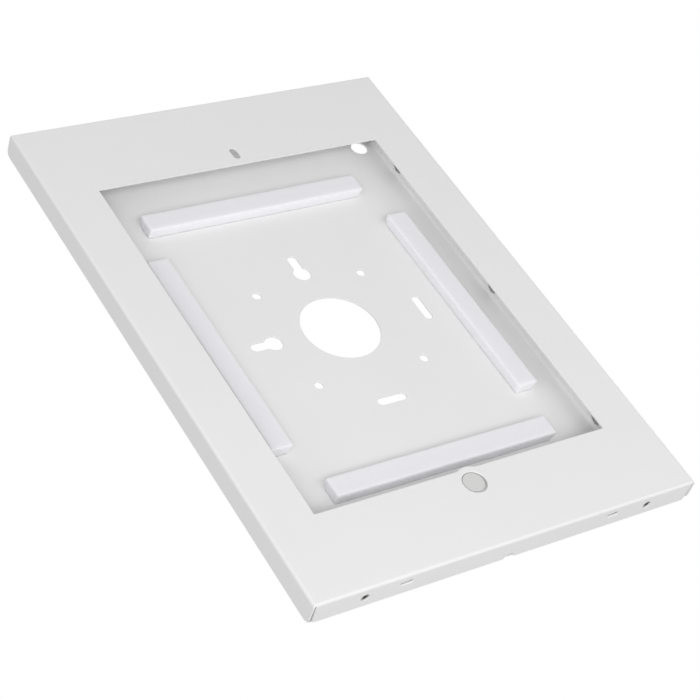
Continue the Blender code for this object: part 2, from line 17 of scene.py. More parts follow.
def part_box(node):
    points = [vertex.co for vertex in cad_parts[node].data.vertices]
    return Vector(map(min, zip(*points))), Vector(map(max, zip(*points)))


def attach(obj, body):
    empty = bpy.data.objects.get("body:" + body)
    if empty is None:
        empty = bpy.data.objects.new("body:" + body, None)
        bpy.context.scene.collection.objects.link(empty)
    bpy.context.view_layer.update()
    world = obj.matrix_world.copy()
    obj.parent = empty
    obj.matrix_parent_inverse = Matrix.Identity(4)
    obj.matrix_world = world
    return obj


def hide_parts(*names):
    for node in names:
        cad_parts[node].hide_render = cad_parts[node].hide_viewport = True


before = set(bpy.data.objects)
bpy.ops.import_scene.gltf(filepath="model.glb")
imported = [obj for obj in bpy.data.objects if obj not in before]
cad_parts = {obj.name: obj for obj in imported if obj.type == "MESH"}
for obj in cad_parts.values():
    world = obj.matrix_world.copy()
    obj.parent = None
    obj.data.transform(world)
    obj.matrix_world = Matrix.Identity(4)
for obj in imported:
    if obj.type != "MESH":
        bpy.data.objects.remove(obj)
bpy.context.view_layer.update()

MM = 0.001

# %% [markdown]
# ## The camera
#
# A camera is three things: a place, a direction and a lens. These came from matching the corners,
# holes and fold lines of the photograph with the same points of the CAD model. The camera stands
# below and to the left of the mount and is rolled, and its long lens keeps the perspective mild.

# %% Place the camera
CAMERA_PLACE = Vector((-0.61863, -0.79776, -0.62071))
CAMERA_AHEAD = Vector((0.52390, 0.67940, 0.51376)).normalized()
CAMERA_UP = Vector((0.20695, -0.68661, 0.69695))
CAMERA_LENS_MM = 102.506
SENSOR_MM = 36.0

camera_data = bpy.data.cameras.new("photo_camera")
camera_data.sensor_width = SENSOR_MM
camera_data.lens = CAMERA_LENS_MM
camera_data.clip_start = 10 * MM
camera_right = CAMERA_AHEAD.cross(CAMERA_UP).normalized()
camera_top = camera_right.cross(CAMERA_AHEAD)
camera_turn = Matrix((camera_right, camera_top, -CAMERA_AHEAD)).transposed()
camera = bpy.data.objects.new("photo_camera", camera_data)
bpy.context.scene.collection.objects.link(camera)
camera.matrix_world = Matrix.Translation(CAMERA_PLACE) @ camera_turn.to_4x4()
bpy.context.scene.camera = camera
print("camera distance:", round(CAMERA_PLACE.length, 3), "m")

# %% [markdown]
# ## Colours and nodes
#
# A colour picker and a web page write colours as sRGB hex numbers, but a renderer adds up light,
# so it needs linear values. One function does that step for every colour here. Another adds a
# node to a tree together with its settings and links, which keeps each material short to read.

# %% Helpers for materials
SRGB_KNEE = 0.04045
SRGB_SLOPE = 12.92
SRGB_OFFSET = 0.055
SRGB_POWER = 2.4


def linear(hex_code):
    """Turn an sRGB hex colour such as E8E8E6 into the linear colour of a socket."""
    channels = []
    for start in (0, 2, 4):
        value = int(hex_code[start:start + 2], 16) / 255
        low = value / SRGB_SLOPE
        high = ((value + SRGB_OFFSET) / (1 + SRGB_OFFSET)) ** SRGB_POWER
        channels.append(low if value <= SRGB_KNEE else high)
    return (*channels, 1.0)


def add_node(tree, kind, settings=None, inputs=None):
    """Add a node, set its properties, and fill or link its input sockets."""
    node = tree.nodes.new(kind)
    for name, value in (settings or {}).items():
        setattr(node, name, value)
    for key, value in (inputs or {}).items():
        if isinstance(value, bpy.types.NodeSocket):
            tree.links.new(value, node.inputs[key])
        else:
            node.inputs[key].default_value = value
    return node


def pattern_scale(millimetres):
    """Scale of a texture node whose features are to be that many millimetres wide."""
    return 1.0 / (millimetres * MM)


def start_material(name, roughness, metallic=0.0):
    """Make a material and return it with its tree, its shader and the object's coordinates."""
    material = bpy.data.materials.new(name)
    material.use_nodes = True
    tree = material.node_tree
    shader = tree.nodes["Principled BSDF"]
    shader.inputs["Roughness"].default_value = roughness
    shader.inputs["Metallic"].default_value = metallic
    place = add_node(tree, "ShaderNodeTexCoord").outputs["Object"]
    return material, tree, shader, place


print("a mid grey in linear light:", [round(c, 3) for c in linear("808080")])

# %% [markdown]
# ## Powder coat
#
# Powder coat is a plastic powder that is sprayed on dry and melted in an oven. It flows out into
# a skin with a faint orange peel: soft waves a few millimetres long and a hundredth of a
# millimetre high. The eye sees those waves only where something bright is mirrored. The skin is
# semi-gloss, a little uneven in gloss, and its colour hardly changes from place to place. A noise
# texture gives each of these, because waves, grain and clouds all come without a direction.

# %% Semi-gloss white powder coat
NOISE_LOW = 0.3
NOISE_HIGH = 0.7
PAINT_ROUGHNESS = 0.50
PAINT_GLOSS_DRIFT = 0.04
PEEL_WAVE_MM = 2.6
PEEL_HEIGHT = 0.006 * MM
GRAIN_MM = 0.45
GRAIN_HEIGHT = 0.0015 * MM
CLOUD_MM = 55.0


def powder_coat():
    """Polyester powder coat on steel: a pale skin with orange peel and a soft gloss."""
    material, tree, shader, place = start_material("semi_gloss_powder_coat", PAINT_ROUGHNESS)
    cloud = add_node(tree, "ShaderNodeTexNoise", inputs={
        "Vector": place,
        "Scale": pattern_scale(CLOUD_MM),
        "Detail": 3.0,
    })
    tint = add_node(tree, "ShaderNodeMix", {"data_type": "RGBA"}, {
        0: cloud.outputs["Fac"],
        6: linear("EDEDED"),
        7: linear("F1F1F1"),
    })
    tree.links.new(tint.outputs[2], shader.inputs["Base Color"])
    gloss = add_node(tree, "ShaderNodeMapRange", inputs={
        "Value": cloud.outputs["Fac"],
        "From Min": NOISE_LOW,
        "From Max": NOISE_HIGH,
        "To Min": PAINT_ROUGHNESS - PAINT_GLOSS_DRIFT,
        "To Max": PAINT_ROUGHNESS + PAINT_GLOSS_DRIFT,
    })
    tree.links.new(gloss.outputs["Result"], shader.inputs["Roughness"])
    peel = add_node(tree, "ShaderNodeTexNoise", inputs={
        "Vector": place,
        "Scale": pattern_scale(PEEL_WAVE_MM),
        "Detail": 1.0,
    })
    grain = add_node(tree, "ShaderNodeTexNoise", inputs={
        "Vector": place,
        "Scale": pattern_scale(GRAIN_MM),
        "Detail": 2.0,
    })
    waves = add_node(tree, "ShaderNodeBump", inputs={
        "Height": peel.outputs["Fac"],
        "Distance": PEEL_HEIGHT,
    })
    fine = add_node(tree, "ShaderNodeBump", inputs={
        "Height": grain.outputs["Fac"],
        "Distance": GRAIN_HEIGHT,
        "Normal": waves.outputs["Normal"],
    })
    tree.links.new(fine.outputs["Normal"], shader.inputs["Normal"])
    return material


paint = powder_coat()
print("made", paint.name)

# %% [markdown]
# ## Closed-cell foam
#
# The strips are polyethylene foam, blown in a sheet and cut with a knife. The face of the sheet
# has a smooth skin, while the knife opens the bubbles on the sides, so they look rougher. A texture
# of cells that press on each other is a good picture of such bubbles. The middle of each cell is
# painted a shade darker, which is painted shade in the bubble pits. The surface normal tells skin
# from cut: the skin looks towards the front, along -Y, and the cut sides get the full painted
# shade, which also tones down the light on them. Light goes a couple of millimetres into the foam
# before it comes out again, which softens every shadow on it.

# %% Closed-cell foam
FOAM_ROUGHNESS = 0.85
FOAM_GLOW = 0.75
GLOW_DEPTH = 2.6 * MM
BUBBLE_MM = 0.9
BUBBLE_DEPTH = 0.03 * MM
BUBBLE_CENTRE = 0.05
BUBBLE_WALL = 0.45
SKIN_FACING = -0.95
CUT_FACING = -0.6
SKIN_PORE_SHADE = 0.25
SKIN_WAVE_MM = 6.0
SKIN_WAVE_HEIGHT = 0.03 * MM


def closed_cell_foam():
    """White polyethylene foam: matt skin in front, opened bubbles on cut sides, painted shade in
    pits.
    """
    material, tree, shader, place = start_material(
        "closed_cell_polyethylene_foam", FOAM_ROUGHNESS
    )
    shader.inputs["Subsurface Weight"].default_value = FOAM_GLOW
    shader.inputs["Subsurface Scale"].default_value = GLOW_DEPTH
    shader.inputs["Subsurface Radius"].default_value = (1.0, 1.0, 1.0)
    bubbles = add_node(tree, "ShaderNodeTexVoronoi", inputs={
        "Vector": place,
        "Scale": pattern_scale(BUBBLE_MM),
        "Randomness": 1.0,
    })
    skin_waves = add_node(tree, "ShaderNodeTexNoise", inputs={
        "Vector": place,
        "Scale": pattern_scale(SKIN_WAVE_MM),
        "Detail": 2.0,
    })
    normal = add_node(tree, "ShaderNodeNewGeometry").outputs["Normal"]
    parts = add_node(tree, "ShaderNodeSeparateXYZ", inputs={"Vector": normal})
    # The skin takes a quarter of the painted pore shade and the cut sides all of it, which tones
    # down their light.
    cut_sides_and_side_shade = add_node(tree, "ShaderNodeMapRange", inputs={
        "Value": parts.outputs["Y"],
        "From Min": SKIN_FACING,
        "From Max": CUT_FACING,
        "To Min": SKIN_PORE_SHADE,
        "To Max": 1.0,
    })
    # Painted shade: the middle of each bubble is painted darker, as the shade that falls in its
    # pit.
    pore_shade = add_node(tree, "ShaderNodeMapRange", inputs={
        "Value": bubbles.outputs["Distance"],
        "From Min": BUBBLE_CENTRE,
        "From Max": BUBBLE_WALL,
        "To Min": 1.0,
        "To Max": 0.0,
    })
    painted_pore_shade = add_node(tree, "ShaderNodeMath", {"operation": "MULTIPLY"}, {
        0: pore_shade.outputs["Result"],
        1: cut_sides_and_side_shade.outputs["Result"],
    })
    # E6E5E9 is the colour of the painted shade in the pits.
    tint = add_node(tree, "ShaderNodeMix", {"data_type": "RGBA"}, {
        0: painted_pore_shade.outputs["Value"],
        6: linear("F1F0F4"),
        7: linear("E6E5E9"),
    })
    tree.links.new(tint.outputs[2], shader.inputs["Base Color"])
    soft = add_node(tree, "ShaderNodeBump", inputs={
        "Height": skin_waves.outputs["Fac"],
        "Distance": SKIN_WAVE_HEIGHT,
    })
    pits = add_node(tree, "ShaderNodeBump", {"invert": True}, {
        "Height": painted_pore_shade.outputs["Value"],
        "Distance": BUBBLE_DEPTH,
        "Normal": soft.outputs["Normal"],
    })
    tree.links.new(pits.outputs["Normal"], shader.inputs["Normal"])
    return material


foam = closed_cell_foam()
print("made", foam.name)

# %% [markdown]
# ## Moulded plastic
#
# The cap is injection moulded, and the mould was spark eroded, which leaves a fine even grain.
# The real grain is a tenth of a millimetre wide, too fine to show at the photograph's distance,
# so it is drawn five times as coarse. One noise texture gives both the bumps and their tint.

# %% Moulded plastic
PLASTIC_ROUGHNESS = 0.5
SPARK_GRAIN_MM = 0.5
SPARK_GRAIN_HEIGHT = 0.006 * MM


def moulded_plastic():
    """Grey-white ABS from a spark-eroded mould: an even grain and a broad highlight."""
    material, tree, shader, place = start_material("spark_grained_abs", PLASTIC_ROUGHNESS)
    grain = add_node(tree, "ShaderNodeTexNoise", inputs={
        "Vector": place,
        "Scale": pattern_scale(SPARK_GRAIN_MM),
        "Detail": 2.0,
    })
    tint = add_node(tree, "ShaderNodeMix", {"data_type": "RGBA"}, {
        0: grain.outputs["Fac"],
        6: linear("D4D4D3"),
        7: linear("D9D9D8"),
    })
    tree.links.new(tint.outputs[2], shader.inputs["Base Color"])
    bump = add_node(tree, "ShaderNodeBump", inputs={
        "Height": grain.outputs["Fac"],
        "Distance": SPARK_GRAIN_HEIGHT,
    })
    tree.links.new(bump.outputs["Normal"], shader.inputs["Normal"])
    return material


plastic = moulded_plastic()
print("made", plastic.name)

# %% [markdown]
# ## Stainless steel and zinc
#
# The lock screws are turned from stainless steel, a slightly warm mid grey with an even satin
# gloss. The clinch nuts are zinc plated: brighter, with a slightly patchy gloss. A metal has no
# paint over it, so its base colour is the colour of its reflection. Both finishes are the same
# nodes with other values, so one function makes the two.

# %% Steel with a thin finish
METAL_CLOUD_MM = 1.2


def finished_steel(name, dark, light, smooth, rough):
    """Steel under a thin finish whose colour and gloss drift over about a millimetre."""
    material, tree, shader, place = start_material(name, rough, 1.0)
    cloud = add_node(tree, "ShaderNodeTexNoise", inputs={
        "Vector": place,
        "Scale": pattern_scale(METAL_CLOUD_MM),
        "Detail": 4.0,
    })
    tint = add_node(tree, "ShaderNodeMix", {"data_type": "RGBA"}, {
        0: cloud.outputs["Fac"],
        6: linear(dark),
        7: linear(light),
    })
    tree.links.new(tint.outputs[2], shader.inputs["Base Color"])
    gloss = add_node(tree, "ShaderNodeMapRange", inputs={
        "Value": cloud.outputs["Fac"],
        "From Min": NOISE_LOW,
        "From Max": NOISE_HIGH,
        "To Min": smooth,
        "To Max": rough,
    })
    tree.links.new(gloss.outputs["Result"], shader.inputs["Roughness"])
    return material


stainless = finished_steel(
    "turned_stainless_steel", dark="96958F", light="A9A8A3", smooth=0.30, rough=0.40
)
plated = finished_steel(
    "zinc_plated_steel", dark="B9BBBD", light="CFD1D2", smooth=0.22, rough=0.38
)
print("made", stainless.name, "and", plated.name)

# %% [markdown]
# ## Dressing a folded sheet
#
# The CAD sheets already have the true section, folds, holes and seams. What CAD lacks is the skin
# of paint that rounds every cut edge by about a quarter of a millimetre. Those tiny rounds catch
# the light and make an edge believable. A CAD mesh comes as loose triangles, so the copy is first
# merged into one skin, flat triangles are joined into flat faces, and a Bevel modifier then
# rounds only the sharp edges. The folds turn in small steps and stay below its angle limit.

# %% Dress a copy of a CAD node
MERGE_DISTANCE = 0.001 * MM
FLAT_ANGLE = math.radians(0.2)
SHARP_ANGLE = math.radians(32)
BEVEL_SHARE = 0.42
EDGE_SEGMENTS = 2
NORMAL_WEIGHT = 90


def new_piece(name, mesh_data):
    """Turn a finished bmesh into an object of that name, which stands at the origin."""
    mesh = bpy.data.meshes.new(name)
    mesh_data.to_mesh(mesh)
    mesh_data.free()
    piece = bpy.data.objects.new(name, mesh)
    bpy.context.scene.collection.objects.link(piece)
    return piece


def merged_copy(node_name, piece_name):
    """Copy a CAD node's mesh as one closed skin with flat faces joined."""
    mesh_data = bmesh.new()
    mesh_data.from_mesh(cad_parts[node_name].data)
    bmesh.ops.remove_doubles(mesh_data, verts=mesh_data.verts, dist=MERGE_DISTANCE)
    bmesh.ops.dissolve_limit(
        mesh_data, angle_limit=FLAT_ANGLE, verts=mesh_data.verts, edges=mesh_data.edges
    )
    return new_piece(piece_name, mesh_data)


def freeze(piece):
    """Turn a piece with modifiers into the plain mesh that they give."""
    graph = bpy.context.evaluated_depsgraph_get()
    mesh = bpy.data.meshes.new_from_object(piece.evaluated_get(graph))
    piece.modifiers.clear()
    piece.data = mesh


def mark_sharp_edges(mesh, width):
    """Weight the sharp edges for the bevel, less where a neighbouring edge is very short."""
    mesh_data = bmesh.new()
    mesh_data.from_mesh(mesh)
    weights = mesh_data.edges.layers.float.new("bevel_weight_edge")
    for edge in mesh_data.edges:
        if edge.calc_face_angle(0.0) > SHARP_ANGLE:
            shortest = min(near.calc_length() for end in edge.verts for near in end.link_edges)
            edge[weights] = min(1.0, BEVEL_SHARE * shortest / width)
    mesh_data.to_mesh(mesh)
    mesh_data.free()


def paint_edges(piece, width):
    """Round the sharp edges, and keep the flat faces flat in the shading."""
    mark_sharp_edges(piece.data, width)
    piece.data.shade_smooth()
    rounding = piece.modifiers.new("edge_round", "BEVEL")
    rounding.width = width
    rounding.segments = EDGE_SEGMENTS
    rounding.limit_method = "WEIGHT"
    rounding.use_clamp_overlap = False
    shading = piece.modifiers.new("flat_faces_stay_flat", "WEIGHTED_NORMAL")
    shading.mode = "FACE_AREA"
    shading.weight = NORMAL_WEIGHT
    freeze(piece)


def finish_piece(piece, material, slot, *nodes):
    """Give a piece its material, hang it on the root body and hide the CAD nodes it takes the place
    of.
    """
    piece.data.materials.clear()
    piece.data.materials.append(material)
    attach(piece, "root")
    if nodes:
        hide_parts(*nodes)


print("edges sharper than", round(math.degrees(SHARP_ANGLE)), "degrees will be rounded")

# %% [markdown]
# ## Geometry Nodes from a script
#
# What repeats or follows a path is best left to Geometry Nodes: the tree states the rule once and
# its named inputs hold the sizes. Three helpers are enough for this mount. One starts a tree, one
# ends it by turning instances into real mesh and setting the material, and one runs a tree and
# keeps the plain mesh that comes out of it.

# %% Helpers for Geometry Nodes
def start_tree(name, inputs):
    """Begin a tree with an input socket for each name; the value is the socket's type."""
    tree = bpy.data.node_groups.new(name, "GeometryNodeTree")
    tree.interface.new_socket(name="Mesh", in_out="OUTPUT", socket_type="NodeSocketGeometry")
    for input_name, socket_type in inputs.items():
        tree.interface.new_socket(name=input_name, in_out="INPUT", socket_type=socket_type)
    tree.interface.new_socket(name="Material", in_out="INPUT", socket_type="NodeSocketMaterial")
    return tree, add_node(tree, "NodeGroupInput").outputs


def end_tree(tree, geometry, given):
    """Make instances real, set the material and hand the mesh over."""
    real = add_node(tree, "GeometryNodeRealizeInstances", inputs={"Geometry": geometry})
    dressed = add_node(tree, "GeometryNodeSetMaterial", inputs={
        "Geometry": real.outputs["Geometry"],
        "Material": given["Material"],
    })
    add_node(tree, "NodeGroupOutput", inputs={0: dressed.outputs["Geometry"]})
    return tree


def grown_mesh(tree, values):
    """Run a tree with these input values and return the plain mesh that it makes."""
    holder = bpy.data.objects.new(tree.name, bpy.data.meshes.new(tree.name))
    bpy.context.scene.collection.objects.link(holder)
    modifier = holder.modifiers.new(tree.name, "NODES")
    modifier.node_group = tree
    for socket in tree.interface.items_tree:
        if socket.in_out == "INPUT":
            modifier[socket.identifier] = values[socket.name]
    graph = bpy.context.evaluated_depsgraph_get()
    mesh = bpy.data.meshes.new_from_object(holder.evaluated_get(graph))
    bpy.data.objects.remove(holder)
    return mesh


print("trees before the first one is made:", len(bpy.data.node_groups))

# %% [markdown]
# ## Weld prints
#
# Each rail is spot welded through its foot. The electrodes leave a row of shallow round dishes on
# the back of the tray, which the paint softens but does not hide. Geometry Nodes set out a row
# of flattened balls, one for each weld, and a Boolean modifier presses them into the sheet.

# %% A row of weld electrodes
PRINT_RADIUS = 3.0 * MM
PRINT_FLATNESS = 0.12
PRINT_DEPTH = 0.20 * MM
PRINT_SPACING = 44.0 * MM
PRINT_END = 12.0 * MM
ELECTRODE_SEGMENTS = 28
ELECTRODE_RINGS = 20


def electrode_row_tree():
    """Flattened balls at even steps on a straight line."""
    tree, given = start_tree("weld_electrode_row", {
        "Start": "NodeSocketVector",
        "End": "NodeSocketVector",
        "Count": "NodeSocketInt",
        "Radius": "NodeSocketFloat",
        "Flattening": "NodeSocketVector",
    })
    line = add_node(tree, "GeometryNodeMeshLine", {"mode": "END_POINTS"}, {
        "Count": given["Count"],
        "Start Location": given["Start"],
        "Offset": given["End"],
    })
    ball = add_node(tree, "GeometryNodeMeshUVSphere", inputs={
        "Segments": ELECTRODE_SEGMENTS,
        "Rings": ELECTRODE_RINGS,
        "Radius": given["Radius"],
    })
    row = add_node(tree, "GeometryNodeInstanceOnPoints", inputs={
        "Points": line.outputs["Mesh"],
        "Instance": ball.outputs["Mesh"],
        "Scale": given["Flattening"],
    })
    return end_tree(tree, row.outputs["Instances"], given)


electrode_row = electrode_row_tree()
print("made the tree", electrode_row.name, "of", len(electrode_row.nodes), "nodes")


# %% Press the weld prints
def press_weld_prints(sheet_piece, rail_name):
    """Press a row of dishes into the tray's back, behind the middle of a rail's foot."""
    low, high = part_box(rail_name)
    start = (low + high) / 2
    end = start.copy()
    axis = 0 if high.x - low.x > high.z - low.z else 2
    start[axis] = low[axis] + PRINT_END
    end[axis] = high[axis] - PRINT_END
    thickness = PRINT_RADIUS * PRINT_FLATNESS
    start.y = end.y = thickness - PRINT_DEPTH
    count = round((end - start).length / PRINT_SPACING) + 1
    stamps = bpy.data.objects.new("weld_electrodes", grown_mesh(electrode_row, {
        "Start": start,
        "End": end,
        "Count": count,
        "Radius": PRINT_RADIUS,
        "Flattening": (1.0, PRINT_FLATNESS, 1.0),
        "Material": paint,
    }))
    bpy.context.scene.collection.objects.link(stamps)
    press = sheet_piece.modifiers.new("weld_prints", "BOOLEAN")
    press.operation = "DIFFERENCE"
    press.object = stamps
    freeze(sheet_piece)
    bpy.data.objects.remove(stamps)
    print(rail_name, "weld prints:", count)


print("depth of a weld print:", round(PRINT_DEPTH / MM, 2), "mm")

# %% [markdown]
# ## The six painted sheets
#
# The cover, the tray and the four rails are folded sheets under one coat of paint, so one loop
# dresses them all. The weld prints are pressed into the tray before its edges are rounded,
# because a Boolean modifier works best on a plain skin, without the bevel's many small faces.

# %% Dress the sheets
PAINTED_EDGE = 0.28 * MM
RAIL_NAMES = ("right_rail", "left_rail", "top_rail", "bottom_rail")

for sheet_name in ("front_cover", "back_tray", *RAIL_NAMES):
    sheet_piece = merged_copy(sheet_name, "painted_" + sheet_name)
    if sheet_name == "back_tray":
        for rail_name in RAIL_NAMES:
            press_weld_prints(sheet_piece, rail_name)
    paint_edges(sheet_piece, PAINTED_EDGE)
    finish_piece(sheet_piece, paint, "white_paint", sheet_name)
    print(sheet_piece.name, "faces:", len(sheet_piece.data.polygons))

# %% [markdown]
# ## Dressed weld seams
#
# Besides its spot welds, each rail has a seam along its bend that is ground smooth before
# painting, so the floor sweeps up into the rail in a small hollow curve without a dark gap. It is a
# profile that follows a straight path, which suits a short function: the curve of the hollow,
# then a little material behind it that sits in the rail's bend.

# %% Fill the seams between rails and floor
COVE_RADIUS = 1.9 * MM
COVE_STEPS = 8
COVE_SETBACK = 1.0 * MM
COVE_BACKING = 0.4 * MM

SHEET = 1.2 * MM
tray_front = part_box("back_tray")[1].y - SHEET


def cove_profile():
    """Points of the hollow as distances out from the wall and up from the floor."""
    points = []
    for step in range(COVE_STEPS + 1):
        angle = math.pi / 2 * step / COVE_STEPS
        out = COVE_RADIUS * (1 - math.sin(angle))
        up = COVE_RADIUS * (1 - math.cos(angle))
        points.append((out, up))
    points.append((-COVE_BACKING, COVE_RADIUS))
    points.append((-COVE_BACKING, 0.0))
    return points


def weld_cove(name, corner, out, along, length):
    """Sweep the hollow along a rail; out points from the rail over the floor."""
    up = Vector((0.0, -1.0, 0.0))
    mesh_data = bmesh.new()
    rings = []
    for end in (-length / 2, length / 2):
        ring = []
        for sideways, height in cove_profile():
            ring.append(mesh_data.verts.new(corner + along * end + out * sideways + up * height))
        rings.append(ring)
    mesh_data.faces.new(rings[0])
    mesh_data.faces.new(rings[1])
    for index, (near, far) in enumerate(zip(*rings)):
        following = (index + 1) % len(rings[0])
        mesh_data.faces.new((near, rings[0][following], rings[1][following], far))
    bmesh.ops.recalc_face_normals(mesh_data, faces=mesh_data.faces)
    seam = new_piece(name, mesh_data)
    seam.data.shade_smooth()
    seam.data.set_sharp_from_angle(angle=SHARP_ANGLE)
    finish_piece(seam, paint, "white_paint")


RIGHTWARDS = Vector((1.0, 0.0, 0.0))
UPWARDS = Vector((0.0, 0.0, 1.0))
RAIL_SIDES = {
    "right_rail": (-RIGHTWARDS, UPWARDS),
    "left_rail": (RIGHTWARDS, UPWARDS),
    "top_rail": (-UPWARDS, RIGHTWARDS),
    "bottom_rail": (UPWARDS, RIGHTWARDS),
}
for rail_name, (out, along) in RAIL_SIDES.items():
    low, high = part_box(rail_name)
    reach = max(low.dot(out), high.dot(out))
    corner = out * reach
    corner.y = tray_front
    run = abs((high - low).dot(along)) - 2 * COVE_SETBACK
    weld_cove(rail_name + "_weld_seam", corner, out, along, run)
    print(rail_name, "seam length:", round(run / MM, 1), "mm")

# %% [markdown]
# ## Foam strips
#
# Each strip was cut by hand from a foam sheet and pressed on by its sticky back. A cloth
# simulation suits fabric that sags, but this foam is firm and keeps its block shape. Still, no
# edge is quite straight: the sides swell unevenly by a few tenths of a millimetre, the ends lean,
# the knife has cut in under one corner of each end, and the long edges are softly rounded. The
# shape is a box whose grid of points is pulled onto a rounded block and then moved by smooth
# noise, with a seed for each strip. In front the skin also rises and dips a little, while the
# foot stays stuck flat to the tray.

# %% A box with a grid of points
STRIP_STEP = 1.6 * MM
STRIP_ROUND = 1.1 * MM
STRIP_FOOT_GAP = 0.01 * MM
CLOSE_LINES = (0.12, 0.32, 0.62)


def grid_lines(low, high, step, margin):
    """Coordinates from low to high, with close lines within a margin of each end."""
    inner_low = low + margin
    inner_high = high - margin
    count = max(1, round((inner_high - inner_low) / step))
    lines = [low] + [low + margin * share for share in CLOSE_LINES]
    lines += [inner_low + (inner_high - inner_low) * index / count for index in range(count + 1)]
    return lines + [high - margin * share for share in reversed(CLOSE_LINES)] + [high]


def box_skin(mesh_data, lines):
    """Cover a box with a grid; the lines give the places of the grid along X, Y and Z."""
    counts = [len(axis) - 1 for axis in lines]
    points = {}

    def point(index):
        if index not in points:
            points[index] = mesh_data.verts.new([lines[axis][index[axis]] for axis in range(3)])
        return points[index]

    for fixed in range(3):
        first, second = [axis for axis in range(3) if axis != fixed]
        for end in (0, counts[fixed]):
            for i in range(counts[first]):
                for j in range(counts[second]):
                    corners = []
                    for step_i, step_j in ((0, 0), (1, 0), (1, 1), (0, 1)):
                        index = [0, 0, 0]
                        index[fixed] = end
                        index[first] = i + step_i
                        index[second] = j + step_j
                        corners.append(point(tuple(index)))
                    mesh_data.faces.new(corners)
    bmesh.ops.recalc_face_normals(mesh_data, faces=mesh_data.faces)


print("grid lines over 20 mm:", len(grid_lines(0.0, 20 * MM, STRIP_STEP, STRIP_ROUND)))


# %% Round the box off
def round_off(place, half):
    """Pull a point of the box onto a block whose edges are round, apart from the foot's."""
    core = Vector([max(STRIP_ROUND - h, min(h - STRIP_ROUND, p)) for h, p in zip(half, place)])
    over = place - core
    if place.y > core.y:
        over.y = 0.0
        core.y = place.y
    if over.length > 0.0:
        over = over.normalized() * STRIP_ROUND
    return core + over


example = Vector((-0.01, -0.01, -0.01))
print("the corner of a 20 mm cube goes from", example, "to", round_off(example, -example))

# %% Cut it by hand
SIDE_SWELL = 0.30 * MM
SWELL_WAVE = 38 * MM
SWELL_LEVEL = 0.35
SKIN_DIP = 0.12 * MM
DIP_WAVE = 30 * MM
DIP_FADE = 2 * MM
END_LEAN = 0.8 * MM
END_POWER = 8
UNDERCUT = 3.2 * MM
UNDERCUT_FOOT_POWER = 2
UNDERCUT_CORNER_POWER = 14
SWELL_SEED, LEAN_SEED, DIP_SEED = 7.3, 1.7, 3.9
SIDE_SEED, END_SEED, LEAN_ROW = 3.1, 2.2, 0.4


def cut_by_hand(place, half, seed):
    """Move a point of the rounded block, given from its middle, as an unsteady knife does."""
    long_axis = 0 if half.x > half.z else 2
    short_axis = 2 - long_axis
    along, across = place[long_axis], place[short_axis]
    probe = Vector((along / SWELL_WAVE, seed * SWELL_SEED, math.copysign(SIDE_SEED, across)))
    swell = SIDE_SWELL * abs(noise.noise(probe) - SWELL_LEVEL)
    place[short_axis] += math.copysign(swell, across) * abs(across) / half[short_axis]
    sideways = place[short_axis] / half[short_axis]

    probe = Vector((seed * LEAN_SEED, math.copysign(END_SEED, along), LEAN_ROW))
    lean = END_LEAN * noise.noise(probe)
    inset = abs(lean) * (0.5 + 0.5 * math.copysign(1.0, lean) * sideways)
    cut_side = 1.0 if along < 0.0 else -1.0
    corner = 0.5 + 0.5 * cut_side * sideways
    foot = (half.y + place.y) / (2 * half.y)
    inset += UNDERCUT * foot ** UNDERCUT_FOOT_POWER * corner ** UNDERCUT_CORNER_POWER
    reach = abs(along) / half[long_axis]
    place[long_axis] -= math.copysign(inset * reach ** END_POWER, along)

    free = min(1.0, (half.y - place.y) / DIP_FADE)
    probe = Vector((place.x / DIP_WAVE, seed * DIP_SEED, place.z / DIP_WAVE))
    place.y += free * SKIN_DIP * (0.5 + noise.noise(probe))
    return place


print("the knife moves a corner by", round((END_LEAN + UNDERCUT) / MM, 1), "mm at most")


# %% Make the foam strips
def foam_strip(node_name, seed):
    """Build one strip where its CAD solid is, a hair above the tray's floor."""
    low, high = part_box(node_name)
    high.y = tray_front - STRIP_FOOT_GAP
    middle = (low + high) / 2
    half = (high - low) / 2
    mesh_data = bmesh.new()
    box_skin(mesh_data, [
        grid_lines(low[axis], high[axis], STRIP_STEP, STRIP_ROUND) for axis in range(3)
    ])
    for vertex in mesh_data.verts:
        place = round_off(vertex.co - middle, half)
        vertex.co = middle + cut_by_hand(place, half, seed)
    strip = new_piece("strip_" + node_name, mesh_data)
    strip.data.shade_smooth()
    finish_piece(strip, foam, "foam", node_name)
    return strip


for strip_seed, strip_node in enumerate(("top_foam", "bottom_foam", "left_foam", "right_foam")):
    strip = foam_strip(strip_node, strip_seed + 1)
    print(strip.name, "faces:", len(strip.data.polygons))

# %% [markdown]
# ## The button cap
#
# The cap is a moulded disc that snaps in from behind, so its wide rim hides behind the sheet and
# only its plug fills the hole. The plug is a little smaller than the hole and sits a little off
# centre, as a part pushed in by thumb does, and a groove in the rim runs round its foot. Both
# leave a dark ring of uneven width.

# %% Dress the cap
CAP_NARROWING = 0.60 * MM
CAP_OFF_CENTRE = Vector((-0.06 * MM, 0.0, 0.66 * MM))
CAP_EDGE = 0.25 * MM
CAP_RIM_WIDTH = 1.0 * MM
CAP_RIM_THICKNESS = 0.6 * MM
CAP_GROOVE_DEPTH = 0.4 * MM
CAP_FOOT_TOLERANCE = 0.1 * MM

cap = merged_copy("button_cap", "moulded_button_cap")
cap_low, cap_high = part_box("button_cap")
cap_axis = (cap_low + cap_high) / 2
rim_radius = (cap_high.x - cap_low.x) / 2
for vertex in cap.data.vertices:
    spoke = Vector((vertex.co.x - cap_axis.x, 0.0, vertex.co.z - cap_axis.z))
    if spoke.length < rim_radius - CAP_RIM_WIDTH:
        vertex.co += CAP_OFF_CENTRE - spoke.normalized() * CAP_NARROWING
        if abs(vertex.co.y - cap_high.y + CAP_RIM_THICKNESS) < CAP_FOOT_TOLERANCE:
            vertex.co.y += CAP_GROOVE_DEPTH
paint_edges(cap, CAP_EDGE)
finish_piece(cap, plastic, "grey_plastic", "button_cap")
print("cap rim radius:", round(rim_radius / MM, 2), "mm")

